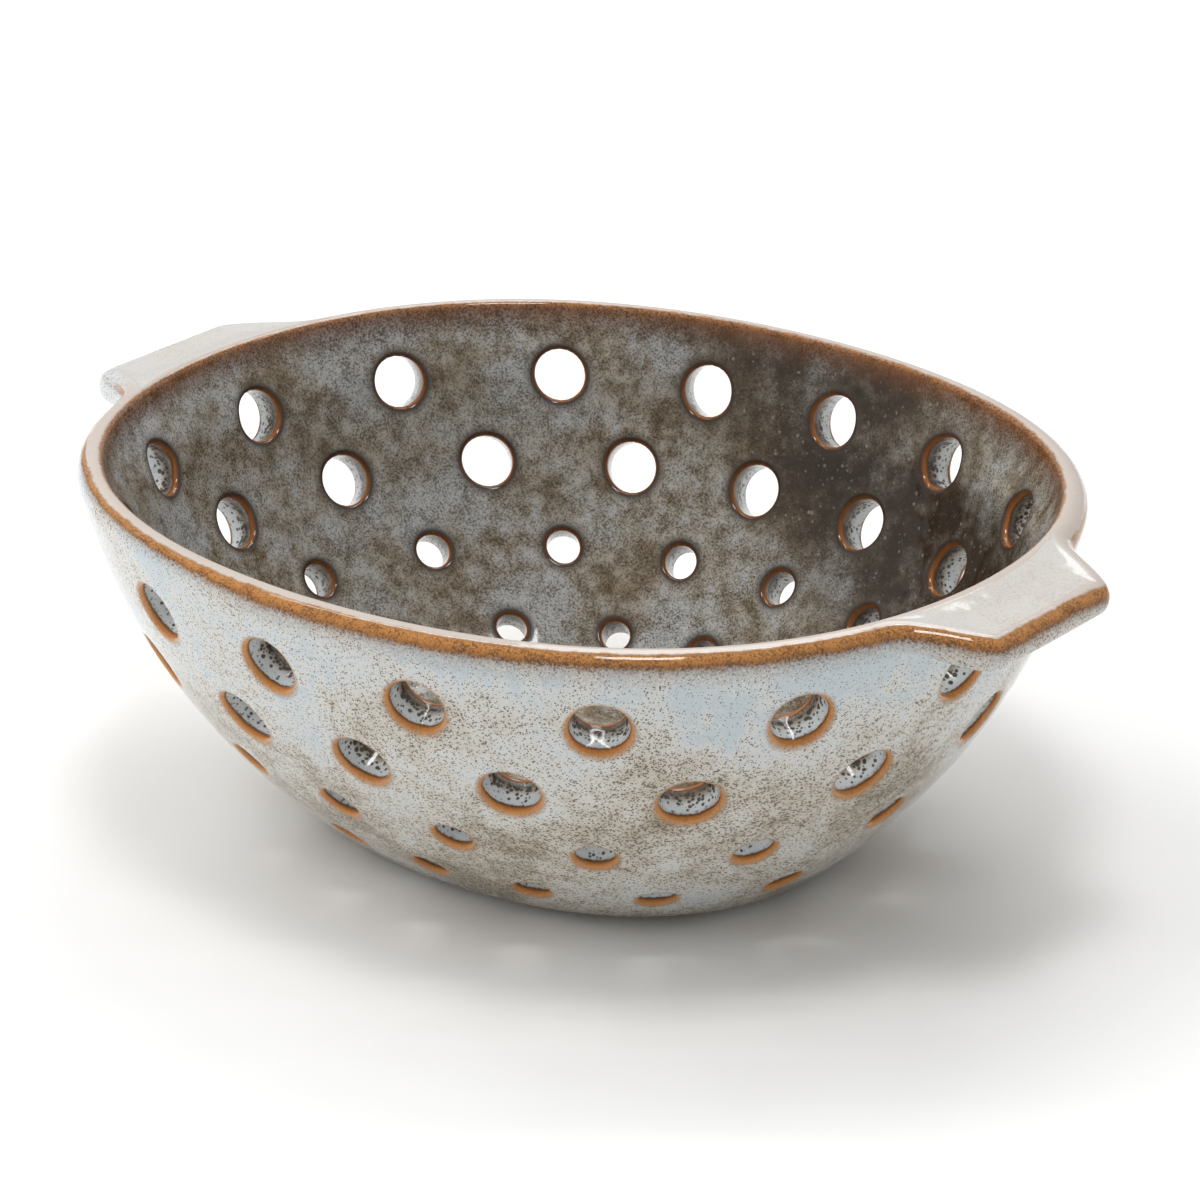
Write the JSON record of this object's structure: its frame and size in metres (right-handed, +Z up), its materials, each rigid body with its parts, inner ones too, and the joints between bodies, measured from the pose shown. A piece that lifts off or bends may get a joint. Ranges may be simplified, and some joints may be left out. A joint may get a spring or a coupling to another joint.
{
  "type": "berry bowl",
  "caption": "Oval glazed stoneware berry bowl with staggered drain holes through its wall, flat lug handles at the ends of the rim and a low foot ring.",
  "frame": {"origin": "middle of the footprint, on the surface that the bowl stands on", "axes": "+X along the line of the handles, +Y across the bowl, +Z up out of the bowl's mouth"},
  "size_m": [0.2264, 0.1774, 0.0765],
  "materials": {
    "glazed_stoneware": "glossy pale blue-grey reactive glaze, speckled brown, breaking to rust at edges",
    "glazed_lug": "glossy pale grey reactive glaze, breaking to rust at the outer edge",
    "bare_stoneware": "unglazed fired stoneware, matt"
  },
  "bodies": {
    "root": {"bowl_body": "glazed_stoneware", "lug_handle_right": "glazed_lug", "lug_handle_left": "glazed_lug", "foot_ring": "bare_stoneware"}
  },
  "joints": []
}
